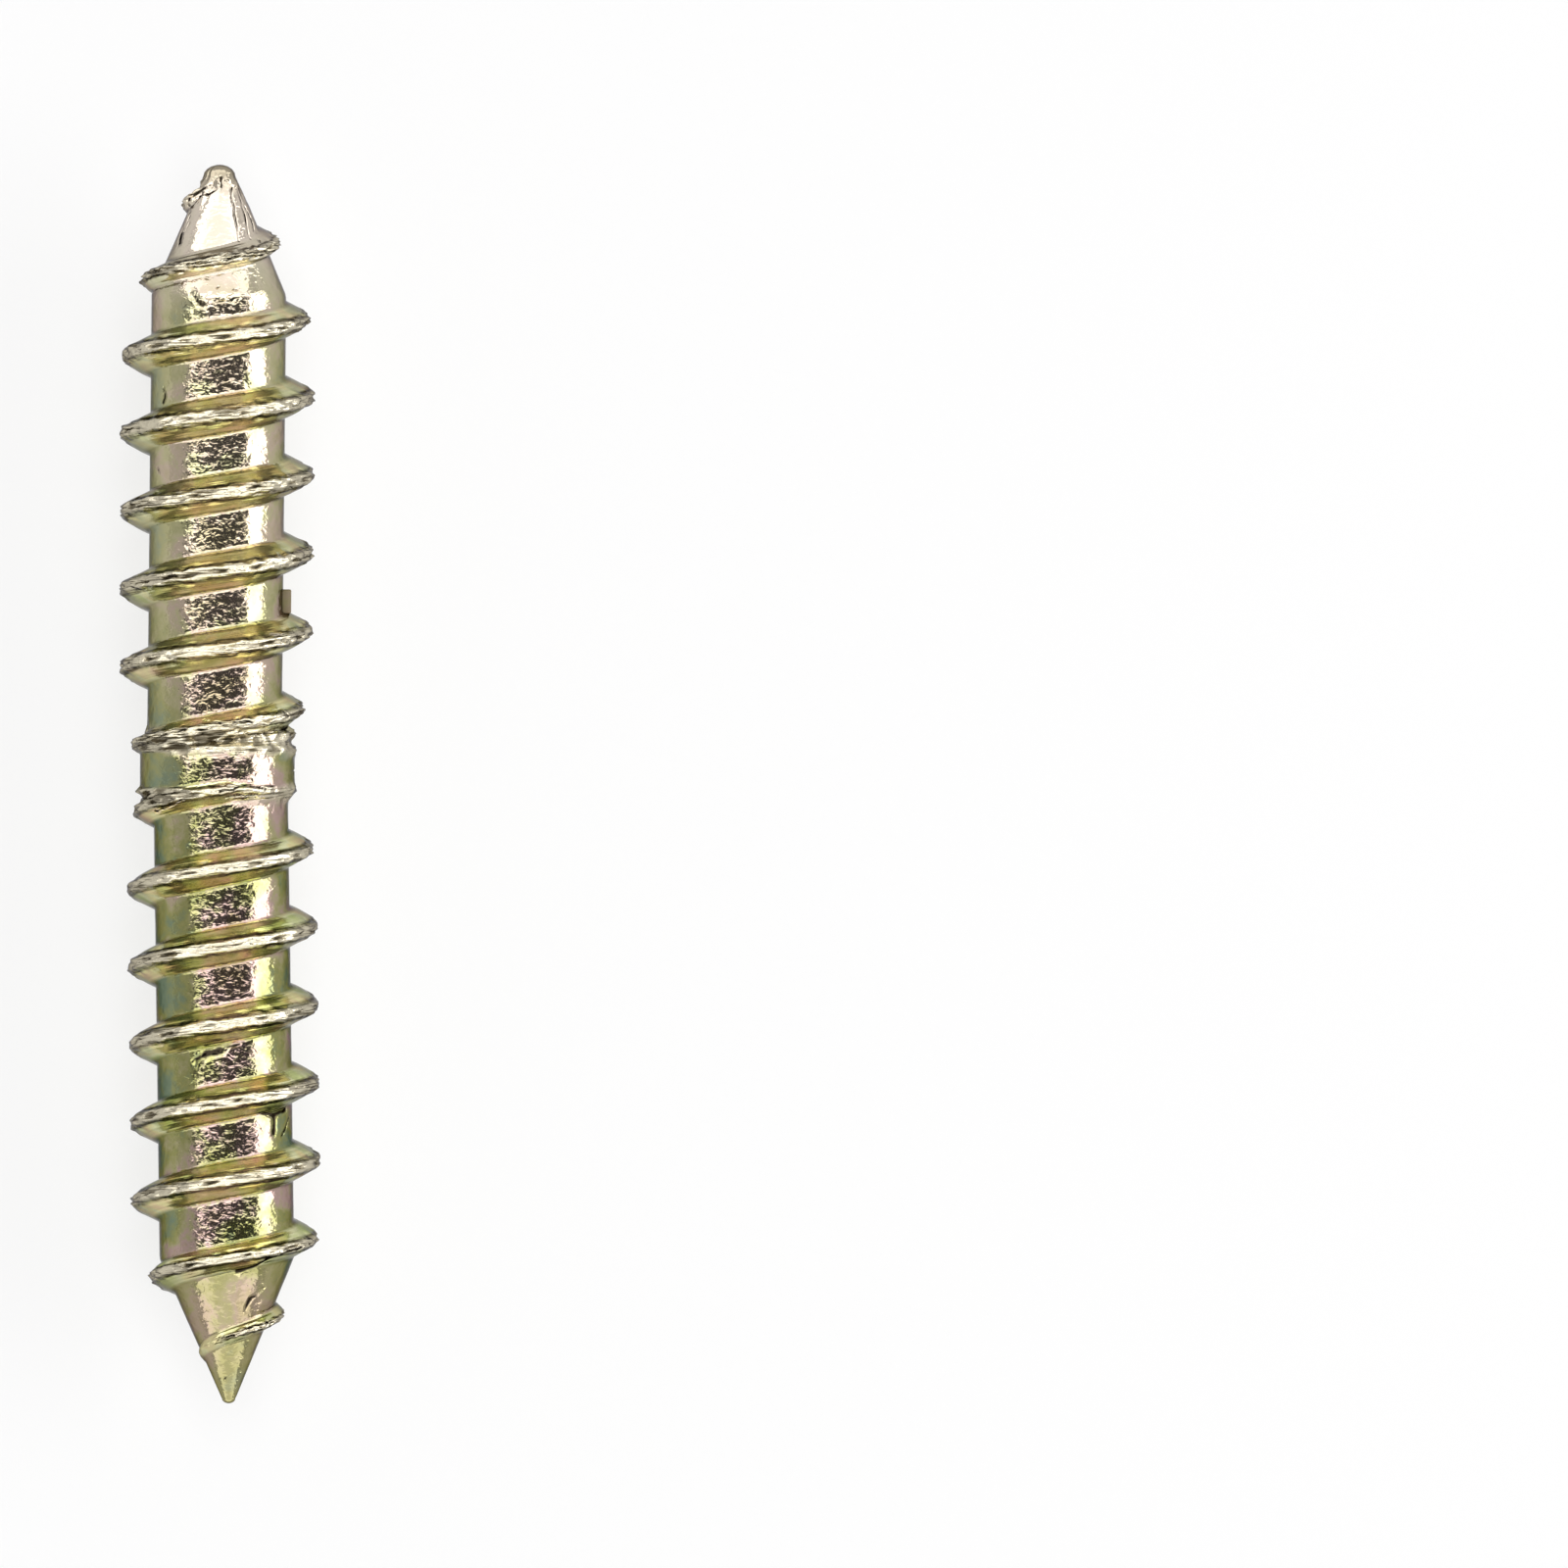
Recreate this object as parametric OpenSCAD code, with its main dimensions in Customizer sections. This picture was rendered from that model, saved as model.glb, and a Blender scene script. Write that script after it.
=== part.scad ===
// Double-ended wood screw, 6 x 40 mm, rolled from 5 mm steel wire.
// A coarse right-hand wood thread runs from each point to a short plain collar, which is the wire as drawn.
// The screw lies along Y on the floor at Z = 0, its blunt point towards +Y, and the origin is below its middle.
// Each half is modelled upright, from the collar's end at height 0 to its point, and is then laid in place.

/* [Whole screw] */
// Length from point to point
screw_l = 40; // [36:0.5:70]

/* [Collar] */
// Diameter of the plain wire between the two threads
collar_d = 5; // [4.8:0.05:5.5]
// Length of the plain wire between the two threads
collar_l = 1.3; // [0.8:0.1:8]
// Distance of the collar from mid-length, towards the blunt point
collar_shift = 0.45; // [-2:0.05:2]
// Height of the lip that the dies raised at each end of the collar
lip_h = 0.05; // [0.02:0.01:0.12]
// Length of the slope from each lip down to the core
shoulder_l = 0.35; // [0.25:0.05:0.8]

/* [Thread] */
// Diameter of the core between the ridges
core_d = 4.35; // [3.9:0.05:4.6]
// Advance of the ridge in one turn
pitch = 2.52; // [2.3:0.02:3.2]
// Width of the ridge where its rounded crest begins
crest_w = 0.5; // [0.36:0.02:0.7]
// Drop from the top of the crest to where the straight flanks begin
crest_drop = 0.15; // [0.08:0.01:0.2]
// Distance between the two lips that the rolling left along the crest
seam_w = 0.24; // [0.16:0.02:0.34]
// Depth of the seam between those lips
seam_depth = 0.07; // [0.02:0.01:0.1]
// Angle between the two flanks
flank_angle = 62; // [50:1:66]
// Height of the rounded foot of each flank
foot_h = 0.13; // [0.06:0.01:0.2]
// Reach of that foot along the core
foot_w = 0.12; // [0.06:0.01:0.2]

/* [Half with the blunt point] */
// Diameter over the ridge
blunt_crest_d = 6.18; // [5.8:0.02:6.8]
// Length of the point, from the full core to its end
blunt_point_l = 4.2; // [3.4:0.1:6]
// Diameter of the broken end of the point
blunt_tip_d = 1.1; // [0.6:0.1:1.6]
// Length over which the ridge tapers towards the point
blunt_taper_l = 4.9; // [3.5:0.1:6]
// Length of the point that has no ridge
blunt_bare_l = 1.2; // [0.8:0.1:2]
// Height of the ridge where it ends on the point
blunt_end_h = 0.45; // [0.1:0.01:0.5]
// Height of the ridge where it leaves the collar
blunt_leave_h = 0.45; // [0.35:0.01:0.8]
// Length over which it rises from there to its full height
blunt_rise_l = 2.6; // [0.3:0.1:4]
// Direction in which the ridge leaves the collar, from +X towards the floor
blunt_start = 166; // [0:1:359]
// Lean of this half out of line, in degrees
blunt_lean = 0.57; // [0:0.01:1.2]

/* [Half with the sharp point] */
// Diameter over the ridge
sharp_crest_d = 6.1; // [5.8:0.02:6.8]
// Length of the point, from the full core to its end
sharp_point_l = 4.7; // [3.4:0.1:6]
// Diameter of the rounded end of the point
sharp_tip_d = 0.44; // [0.3:0.02:1]
// Length over which the ridge tapers towards the point
sharp_taper_l = 4.3; // [3.5:0.1:6]
// Length of the point that has no ridge
sharp_bare_l = 1.7; // [1:0.1:3]
// Height of the ridge where it ends on the point
sharp_end_h = 0.14; // [0.1:0.01:0.5]
// Height of the ridge where it leaves the collar
sharp_leave_h = 0.58; // [0.35:0.01:0.8]
// Length over which it rises from there to its full height
sharp_rise_l = 3; // [0.3:0.1:4]
// Direction in which the ridge leaves the collar, from -X towards the floor
sharp_start = 269; // [0:1:359]
// Lean of this half out of line, in degrees
sharp_lean = 0.77; // [0:0.01:1.2]

/* [Faults of the rolling] */
// How far each half lies off the collar's centre line, to opposite sides
die_shift = 0.1; // [0:0.01:0.15]
// Length of the flake of scale that stands on the core
flake_l = 0.78; // [0.4:0.02:0.9]
// Width of the flake
flake_w = 0.5; // [0.3:0.05:0.8]
// Height of the flake over the core
flake_h = 0.26; // [0.1:0.02:0.5]
// The turn of the ridge that the flake stands beside, counted from the collar on the side towards +X
flake_turn = 2; // [1:1:4]
// Distance of the flake's middle from the crest of that turn
flake_gap = 0.94; // [0.9:0.02:1.4]

/* [Hidden] */

$fn = 72;
// The facets of a ridge in one turn. They are set so that one lies flat on the floor side.
turn_steps = 36;
// How deep a ridge is rooted in the core, so that the two are one solid
root_depth = 0.12;
// The share of its height at which a ridge has sunk under the core's surface
sunk_share = 0.04;
// The length over which a ridge sinks under the surface beyond its end on a point
fade_l = 0.3;
// The length over which it sinks under the surface at the dies' edge, on the collar
edge_l = 0.5;
// How sharply the ridge's taper sets in: 1 is a plain cone
taper_power = 1.6;
// The facets along the rounding of a point's end
tip_steps = 5;
// The share of a tip's diameter that is its rounding's height
tip_rounding = 0.35;
// The direction of the floor, seen from a half's own upright frame
floor_side = 90;

core_r = core_d / 2;
collar_r = collar_d / 2;
blunt_l = screw_l / 2 - collar_shift - collar_l / 2;
sharp_l = screw_l / 2 + collar_shift - collar_l / 2;
// The height of each centre line at which its ridge's lowest facets lie on the floor
blunt_rest_h = blunt_crest_d / 2 * cos(180 / turn_steps);
sharp_rest_h = sharp_crest_d / 2 * cos(180 / turn_steps);
// The collar lies this far from X = 0, so that the outline of the bent screw is centred there
collar_x = -0.13;

// One of a half's own sizes, by its name in that half's list
function of(h, name) = h[search([name], h)[0]][1];

function crest_r(h) = of(h, "crest_d") / 2;
function tip_r(h) = of(h, "tip_d") / 2;
function full_h(h) = crest_r(h) - core_r;
function point_start(h) = of(h, "length") - of(h, "point_l");
function tip_start(h) = of(h, "length") - tip_rounding * of(h, "tip_d");
function ridge_end(h) = of(h, "length") - of(h, "bare_l");
function taper_start(h) = ridge_end(h) - of(h, "taper_l");

// The core's radius at height z: a plain rod, and then a cone to the tip
function rod_r(h, z) =
    let (t = (z - point_start(h)) / (tip_start(h) - point_start(h)))
    core_r + (tip_r(h) - core_r) * max(0, min(1.1, t));

// The radius over the crest, which falls away faster and faster towards the point
function crest_at(h, z) =
    let (t = max(0, (z - taper_start(h)) / of(h, "taper_l")))
    crest_r(h) - (crest_r(h) - rod_r(h, ridge_end(h)) - of(h, "end_h")) * pow(t, taper_power);

// The share of its full height that the ridge has at z: it rises out of the collar, tapers and sinks
function share(h, z) =
    let (leave = of(h, "leave_h") / full_h(h))
    let (rising = leave + (z < 0 ? z / edge_l : (1 - leave) * z / of(h, "rise_l")))
    let (tapering = (crest_at(h, z) - rod_r(h, z)) / full_h(h))
    let (sinking = (ridge_end(h) + fade_l - z) / fade_l)
    max(sunk_share, min(1, rising, tapering, sinking));

// One side of the ridge's section, from root to seam: distance from its middle, and height over the core
function ridge_side(h, k) =
    let (flank_h = full_h(h) - crest_drop - foot_h)
    let (foot_x = crest_w / 2 + k * flank_h * tan(flank_angle / 2))
    [
        [foot_x + foot_w + root_depth, -root_depth],
        [foot_x, foot_h],
        [crest_w / 2, full_h(h) - crest_drop],
        [seam_w / 2, full_h(h)],
    ];

// The whole section, along the screw from the collar's side to the point's side
function ridge_section(h, k) =
    let (side = ridge_side(h, k))
    [
        for (i = [0:1:3]) [-side[i][0], side[i][1]],
        [0, full_h(h) - seam_depth],
        for (i = [3:-1:0]) side[i],
    ];

// The section set at one place of the turn, as points in space
function ridge_ring(h, angle) =
    let (z = pitch * (angle - of(h, "start")) / 360)
    let (k = share(h, z))
    [
        for (p = ridge_section(h, k))
            let (r = rod_r(h, z + p[0]) - root_depth + k * (p[1] + root_depth))
            [r * cos(angle), r * sin(angle), z + p[0]],
    ];

// The ridge as a loft through its sections, one turn_steps-th of a turn apart
module ridge(h) {
    step = 360 / turn_steps;
    first_facet = floor_side - step / 2;
    rooted_at = of(h, "start") - 360 * edge_l / pitch;
    gone_at = of(h, "start") + 360 * (ridge_end(h) + fade_l) / pitch;
    from = ceil((rooted_at - first_facet) / step);
    to = ceil((gone_at - first_facet) / step);
    rings = [for (i = [from:1:to]) ridge_ring(h, first_facet + i * step)];
    count = len(rings);
    m = len(rings[0]);
    points = [for (ring = rings) each ring];
    skin = [
        for (i = [0:1:count - 2])
            for (j = [0:1:m - 1])
                let (a = i * m + j, b = i * m + (j + 1) % m)
                each [[a, b, a + m], [b, b + m, a + m]],
    ];
    start_cap = [[for (j = [m - 1:-1:0]) j]];
    end_cap = [[for (j = [0:1:m - 1]) (count - 1) * m + j]];
    polyhedron(points, concat(skin, start_cap, end_cap), convexity = 10);
}

// The core of a half: a rod from the collar's middle, a cone, and a rounded end
module core(h) {
    rounding = [
        for (i = [1:1:tip_steps - 1])
            let (a = 90 * i / tip_steps)
            [tip_r(h) * cos(a), tip_start(h) + (of(h, "length") - tip_start(h)) * sin(a)],
    ];
    rotate_extrude()
        polygon(concat(
            [[0, -collar_l / 2], [core_r, -collar_l / 2]],
            [[core_r, point_start(h)], [tip_r(h), tip_start(h)]],
            rounding,
            [[0, of(h, "length")]]
        ));
}

module half(h) {
    core(h);
    ridge(h);
}

// The plain wire, with the lips that the dies raised and the slopes down into both cores
module collar() {
    lip_l = shoulder_l / 3;
    side = [
        [core_r - 2 * die_shift, collar_l / 2 + shoulder_l],
        [collar_r + lip_h, collar_l / 2],
        [collar_r, collar_l / 2 - lip_l],
    ];
    rotate_extrude()
        polygon(concat(
            [[0, collar_l / 2 + shoulder_l]],
            side,
            [for (i = [2:-1:0]) [side[i][0], -side[i][1]]],
            [[0, -collar_l / 2 - shoulder_l]]
        ));
}

// A flake of scale that the rolling pressed onto the core, on the side towards +X
module flake() {
    crest_z = pitch * (flake_turn - blunt_start / 360);
    translate([core_r - root_depth, -flake_w / 2, crest_z + flake_gap - flake_l / 2])
        cube([flake_h + root_depth, flake_w, flake_l]);
}

module double_ended_screw() {
    blunt = [
        ["length", blunt_l],
        ["crest_d", blunt_crest_d],
        ["point_l", blunt_point_l],
        ["tip_d", blunt_tip_d],
        ["taper_l", blunt_taper_l],
        ["bare_l", blunt_bare_l],
        ["end_h", blunt_end_h],
        ["leave_h", blunt_leave_h],
        ["rise_l", blunt_rise_l],
        ["start", blunt_start],
    ];
    sharp = [
        ["length", sharp_l],
        ["crest_d", sharp_crest_d],
        ["point_l", sharp_point_l],
        ["tip_d", sharp_tip_d],
        ["taper_l", sharp_taper_l],
        ["bare_l", sharp_bare_l],
        ["end_h", sharp_end_h],
        ["leave_h", sharp_leave_h],
        ["rise_l", sharp_rise_l],
        ["start", sharp_start],
    ];
    color([0.78, 0.72, 0.46])
        translate([collar_x, collar_shift, 0]) {
            translate([0, 0, blunt_rest_h])
                rotate([-90, 0, 0])
                collar();
            translate([-die_shift, 0, blunt_rest_h])
                rotate([0, 0, -blunt_lean])
                translate([0, collar_l / 2, 0])
                rotate([-90, 0, 0]) {
                    half(blunt);
                    flake();
                }
            translate([die_shift, 0, sharp_rest_h])
                rotate([0, 0, sharp_lean])
                translate([0, -collar_l / 2, 0])
                rotate([-90, 0, 0])
                rotate([0, 180, 0])
                half(sharp);
        }
}

double_ended_screw();
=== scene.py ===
# %% [markdown]
# # A double-ended wood screw in yellow zinc
# This screw has no head: it has a coarse thread and a point on each end, and a short plain collar between
# them. It is one piece of steel wire, rolled between grooved dies, zinc plated and dipped in a yellow
# passivate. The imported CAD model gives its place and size. This script builds the same screw again with the
# rough skin that rolling leaves, because that skin is what makes it look like steel and not like plastic.

# %% The CAD frame
import math
import bmesh
import bpy
from mathutils import Matrix, Vector, noise
from mathutils.geometry import intersect_point_line


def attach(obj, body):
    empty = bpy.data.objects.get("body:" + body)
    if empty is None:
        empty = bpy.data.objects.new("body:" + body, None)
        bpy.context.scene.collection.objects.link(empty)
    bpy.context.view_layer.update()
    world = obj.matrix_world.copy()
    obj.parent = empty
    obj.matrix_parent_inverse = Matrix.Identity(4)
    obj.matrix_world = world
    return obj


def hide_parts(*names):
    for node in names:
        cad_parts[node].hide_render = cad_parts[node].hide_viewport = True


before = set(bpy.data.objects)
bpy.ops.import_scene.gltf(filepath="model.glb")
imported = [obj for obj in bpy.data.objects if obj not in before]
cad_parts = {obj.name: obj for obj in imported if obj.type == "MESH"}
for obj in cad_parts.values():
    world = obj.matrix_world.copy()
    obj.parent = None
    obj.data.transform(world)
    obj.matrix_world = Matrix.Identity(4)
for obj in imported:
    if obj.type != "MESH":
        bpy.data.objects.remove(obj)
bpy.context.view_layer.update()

# %% [markdown]
# ## Sizes
# The sizes are the drawing's own. They could be in metres from the start, but a screw is measured in
# millimetres, so all is modelled in those, and a last step scales the finished mesh. Each half is modelled
# upright, with the edge of the collar at height 0 and its point at the top, because a thread turns most
# simply about Z.

# %% Sizes of the screw
MM = 0.001
SCREW_L = 40.0
PITCH = 2.52
CORE_R = 4.35 / 2
COLLAR_R = 5.0 / 2
COLLAR_L = 1.3
COLLAR_SHIFT = 0.45  # from the middle of the screw to the collar's, towards the blunt point
COLLAR_X = -0.13  # place of the collar's centre line across the screw
DIE_SHIFT = 0.1  # how far each half lies off that line, to opposite sides

BLUNT = {
    "length": SCREW_L / 2 - COLLAR_SHIFT - COLLAR_L / 2,  # from the edge of the collar to the tip
    "crest_r": 6.18 / 2,  # radius over the ridge
    "point_l": 4.2,  # length of the cone
    "tip_r": 1.1 / 2,  # radius at the end of the cone
    "taper_l": 4.9,  # length over which the ridge tapers
    "bare_l": 1.2,  # length of the point that has no ridge
    "end_h": 0.3,  # height of the ridge where it ends on the point
    "leave_h": 0.45,  # height of the ridge where it leaves the collar
    "rise_l": 2.6,  # length over which it rises from there to its full height
    "start": 166,  # direction in which it passes the edge of the collar, in degrees
    "lean": -0.57,  # lean of this half out of line, in degrees
    "side": 1,  # the way it points along Y
    "seed": 11.0,  # the place where its noise is read
    "torn": 1.4,  # how torn its crests are, where 1 is usual
    "crumple_l": 0.85,  # length of the folds beside the collar
    "burr_h": 0.5,  # height of the burr beside the collar
    "chip_l": 1.5,  # length of the chipped end
}
SHARP = {
    "length": SCREW_L / 2 + COLLAR_SHIFT - COLLAR_L / 2,
    "crest_r": 6.1 / 2,
    "point_l": 4.7,
    "tip_r": 0.44 / 2,
    "taper_l": 4.3,
    "bare_l": 1.7,
    "end_h": 0.14,
    "leave_h": 0.58,
    "rise_l": 3.0,
    "start": 269,
    "lean": 0.77,
    "side": -1,
    "seed": 47.0,
    "torn": 1.0,
    "crumple_l": 0.5,
    "burr_h": 0.0,
    "chip_l": 0.4,
}
print("halves in mm:", round(BLUNT["length"], 2), round(SHARP["length"], 2))

# %% [markdown]
# ## Camera
# The photo looks straight down on the screw, with no perspective to speak of. A long lens far away would do,
# but an orthographic camera has no perspective at all and gives the scale directly: the photo's frame is
# 1600 pixels wide at 31.6 pixels to a millimetre, and X = 0 is at pixel 225.8 of them.

# %% Camera
FRAME_PX = 1600
PX_PER_MM = 31.6
PX_OF_X0 = 225.8
CAMERA_H = 0.3

bpy.ops.object.select_all(action="DESELECT")
camera_x = (FRAME_PX / 2 - PX_OF_X0) / PX_PER_MM * MM
bpy.ops.object.camera_add(location=(camera_x, 0, CAMERA_H), rotation=(0, 0, 0))
camera = bpy.context.object
camera.name = "camera"
camera.data.type = "ORTHO"
camera.data.ortho_scale = FRAME_PX / PX_PER_MM * MM
camera.data.clip_start = 0.001
bpy.context.scene.camera = camera
bpy.context.scene.view_settings.view_transform = "Standard"
print("frame is", round(camera.data.ortho_scale / MM, 2), "mm wide")

# %% [markdown]
# ## Helpers for materials
# Colours are written as hex values, as a paint chart has them, and shaders work in linear light, so one
# function turns the first into the second. Nodes could be wired one socket at a time, but then the wiring
# hides what is made, so another function adds a node with its settings, values and links in one call.

# %% Colours and nodes
ADD = {"operation": "ADD"}
SUBTRACT = {"operation": "SUBTRACT"}
MULTIPLY = {"operation": "MULTIPLY"}
MULTIPLY_ADD = {"operation": "MULTIPLY_ADD"}
LARGER = {"operation": "MAXIMUM"}
SMALLER = {"operation": "MINIMUM"}
ABSOLUTE = {"operation": "ABSOLUTE"}
# A Mix node of colours has its share at input 0, the colours at inputs 6 and 7, and the result at output 2.
COLOURS = {"data_type": "RGBA"}


def linear(hex_colour):
    """An sRGB colour such as "#C6BF95" as a linear colour with alpha."""
    parts = [int(hex_colour[i : i + 2], 16) / 255 for i in (1, 3, 5)]
    return tuple(c / 12.92 if c <= 0.04045 else ((c + 0.055) / 1.055) ** 2.4 for c in parts) + (1.0,)


def grey(level):
    """A grey of a level in linear light."""
    return (level, level, level, 1.0)


def add_node(tree, kind, settings=(), **inputs):
    """Adds a node. An input goes by name, or by number as _0. A tuple (node, output) is a link to it."""
    node = tree.nodes.new("ShaderNode" + kind)
    for name, value in dict(settings).items():
        setattr(node, name, value)
    for name, value in inputs.items():
        index = int(name[1:]) if name[1:].isdigit() else name.replace("_", " ")
        socket = node.inputs[index]
        if isinstance(value, tuple) and isinstance(value[0], bpy.types.Node):
            tree.links.new(value[0].outputs[value[1]], socket)
        else:
            socket.default_value = value
    return node


def ramp_stops(node, stops):
    """Sets the stops of a colour ramp from (place, colour) pairs."""
    ramp = node.color_ramp
    while len(ramp.elements) < len(stops):
        ramp.elements.new(0.5)
    for element, (place, colour) in zip(ramp.elements, stops):
        element.position = place
        element.color = colour


print("pale gold is", [round(c, 3) for c in linear("#C6BF95")])

# %% [markdown]
# ## Softboxes
# Bright metal shows the room, so what it mirrors matters more than how much light falls on it. A picture of
# a studio could light it, but a few lamps say plainly what is where. The photo was made with a white softbox
# low on the right and softer ones beyond both points, brightest high up, and with nothing bright overhead,
# where the camera is. The middle of each groove faces the camera and mirrors that dark part of the room. The
# boxes beyond the points show in metal only, and one that shows in no metal lights the floor, so that the
# light on everything stays at the plain level at which a colour renders as it is written.

# %% Softboxes
def softbox(name, azimuth, low, high, half_width, radiance, distance=0.5):
    """A lamp that covers a patch of sky, given in degrees, and shows the metal one even brightness."""
    a = math.radians(azimuth)
    e = math.radians((low + high) / 2)
    toward = Vector((math.cos(a) * math.cos(e), math.sin(a) * math.cos(e), math.sin(e)))
    width = 2 * distance * math.tan(math.radians(half_width))
    height = 2 * distance * math.tan(math.radians((high - low) / 2))
    bpy.ops.object.light_add(type="AREA", location=toward * distance)
    lamp = bpy.context.object
    lamp.name = name
    lamp.rotation_euler = toward.to_track_quat("Z", "Y").to_euler()
    lamp.data.shape = "RECTANGLE"
    lamp.data.size = width
    lamp.data.size_y = height
    lamp.data.energy = radiance * math.pi * width * height
    lamp.visible_camera = False
    return lamp


right_box = softbox("softbox_right", azimuth=0, low=2, high=36, half_width=28, radiance=3.6)
end_boxes = [
    softbox("softbox_blunt_low", azimuth=95, low=8, high=62, half_width=50, radiance=1.8),
    softbox("softbox_blunt_high", azimuth=95, low=62, high=79, half_width=50, radiance=3.8),
    softbox("softbox_sharp_low", azimuth=268, low=8, high=62, half_width=50, radiance=1.6),
    softbox("softbox_sharp_high", azimuth=268, low=62, high=79, half_width=50, radiance=3.6),
]
floor_box = softbox("softbox_floor", azimuth=20, low=65, high=105, half_width=30, radiance=2.9)
floor_box.visible_glossy = False
for box in end_boxes:
    box.visible_diffuse = False
print("lamps in watts:", [round(lamp.data.energy, 3) for lamp in (right_box, floor_box, *end_boxes)])

# %% [markdown]
# ## World
# The rest of the studio is a dark ceiling over pale walls, and what the camera sees past the floor is white.
# One grey would do for a matt object, but in metal the step from wall to ceiling draws the edge of each dark
# stripe. The height of the ray's direction finds the grey on a colour ramp, and a switch shows the camera
# white instead.

# %% World
# The height of a direction, and the level of grey there
WALLS_AND_CEILING = [(0.0, 0.8), (0.54, 0.7), (0.58, 0.06), (1.0, 0.05)]

world = bpy.data.worlds.new("studio")
bpy.context.scene.world = world
world.use_nodes = True
room = world.node_tree
room.nodes.clear()
direction = add_node(room, "TexCoord")
direction_parts = add_node(room, "SeparateXYZ", Vector=(direction, "Generated"))
wall = add_node(room, "ValToRGB", Fac=(direction_parts, "Z"))
ramp_stops(wall, [(place, grey(level)) for place, level in WALLS_AND_CEILING])
lit = add_node(room, "Background", Color=(wall, "Color"))
white = add_node(room, "Background", Color=grey(1.0))
room_ray = add_node(room, "LightPath")
shown = add_node(
    room, "MixShader", Fac=(room_ray, "Is Camera Ray"), _1=(lit, "Background"), _2=(white, "Background"),
)
add_node(room, "OutputWorld", Surface=(shown, "Shader"))
print("the room has", len(WALLS_AND_CEILING), "shades")

# %% [markdown]
# ## Floor
# The floor is plain white board. More light would turn it as white as the photo's, but would also wash out
# the metal. So the camera and the metal see three quarters of it as a plain white glow, and the lamps' light
# on the rest keeps the shadow that the screw casts.

# %% Floor
FLOOR_SIZE = 4.0
BOARD_LEVEL = 0.9
GLOW_SHARE = 0.75

bpy.ops.object.select_all(action="DESELECT")
bpy.ops.mesh.primitive_plane_add(size=FLOOR_SIZE, location=(0, 0, 0))
floor = bpy.context.object
floor.name = "floor"
board = bpy.data.materials.new("white_board")
board.use_nodes = True
board_tree = board.node_tree
board_tree.nodes.clear()
paper = add_node(board_tree, "BsdfDiffuse", Color=grey(BOARD_LEVEL))
glow = add_node(board_tree, "Emission", Color=grey(1.0), Strength=1.0)
ray = add_node(board_tree, "LightPath")
seen = add_node(board_tree, "Math", ADD, _0=(ray, "Is Camera Ray"), _1=(ray, "Is Glossy Ray"))
seen = add_node(board_tree, "Math", ADD, _0=(seen, "Value"), _1=(ray, "Is Transmission Ray"))
glow_share = add_node(board_tree, "Math", MULTIPLY, _0=(seen, "Value"), _1=GLOW_SHARE)
both = add_node(board_tree, "MixShader", Fac=(glow_share, "Value"), _1=(paper, "BSDF"), _2=(glow, "Emission"))
add_node(board_tree, "OutputMaterial", Surface=(both, "Shader"))
floor.data.materials.append(board)
print("floor is", FLOOR_SIZE, "m wide")

# %% [markdown]
# ## The section of the ridge
# A thread is one section carried round and up. It is drawn over one pitch, from the middle of one groove to
# the middle of the next: a rounded crest, two straight flanks and a soft foot on each side. The CAD model's
# flanks both stand at 31 degrees. Here they stand at 26.5 and 35.5, together the same, because flanks of one
# angle mirror only the dark part of the room, and the photo's are bright. The rows of points are close
# together on the crest, where the rolled skin needs them, and wide apart in the plain groove.

# %% The section of the ridge
CREST_HALF = 0.25
CREST_DROP = 0.15
CREST_ROUNDING = 0.12
FLANK_TO_POINT = math.tan(math.radians(26.5))
FLANK_TO_COLLAR = math.tan(math.radians(35.5))
FOOT = 0.8
FOOT_ROUNDING = 0.16
GROOVE_HALF = PITCH / 2


def soft_min(a, b, r):
    """The smaller of two heights, with a rounding where they meet that grows with r."""
    h = max(r - abs(a - b), 0) / r
    return min(a, b) - h * h * r / 4


def soft_max(a, b, r):
    """The larger of two heights, rounded in the same way."""
    return -soft_min(-a, -b, r)


def ridge_height(u, full_h):
    """Height over the core at distance u from the middle of the ridge."""
    x = abs(u)
    flank = full_h - CREST_DROP - (x - CREST_HALF) / (FLANK_TO_POINT if u > 0 else FLANK_TO_COLLAR)
    top = full_h - CREST_DROP * (x / CREST_HALF) ** 2
    return soft_max(soft_min(flank, top, CREST_ROUNDING), 0.0, FOOT_ROUNDING)


def steps(start, end, count):
    """Evenly spaced values after start, up to and with end."""
    return [start + (end - start) * (i + 1) / count for i in range(count)]


crest_rows = steps(0, 0.28, 8)
flank_rows = steps(0.28, 0.62, 5)
foot_rows = steps(0.62, FOOT, 3)
groove_rows = steps(FOOT, GROOVE_HALF, 4)
one_side = crest_rows + flank_rows + foot_rows + groove_rows
ROWS = [-u for u in reversed(one_side)] + [0.0] + one_side
print(len(ROWS), "rows in a pitch")

# %% [markdown]
# ## Helpers for modelling
# An operator works on all that is selected, as it does by hand, so these helpers select the right thing
# first. The section could be a curve, but a plane shrunk to one vertex and extruded from point to point
# needs no conversion, and gives a mesh line that the next step can turn.

# %% Helpers for modelling
def only(obj):
    """Selects one object and makes it active."""
    bpy.ops.object.select_all(action="DESELECT")
    obj.select_set(True)
    bpy.context.view_layer.objects.active = obj


def mode(name):
    """Enters edit mode or object mode."""
    bpy.ops.object.mode_set(mode=name)


def join(into, other):
    """Joins the other object into the first, which keeps its name."""
    only(into)
    other.select_set(True)
    bpy.ops.object.join()


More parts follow.
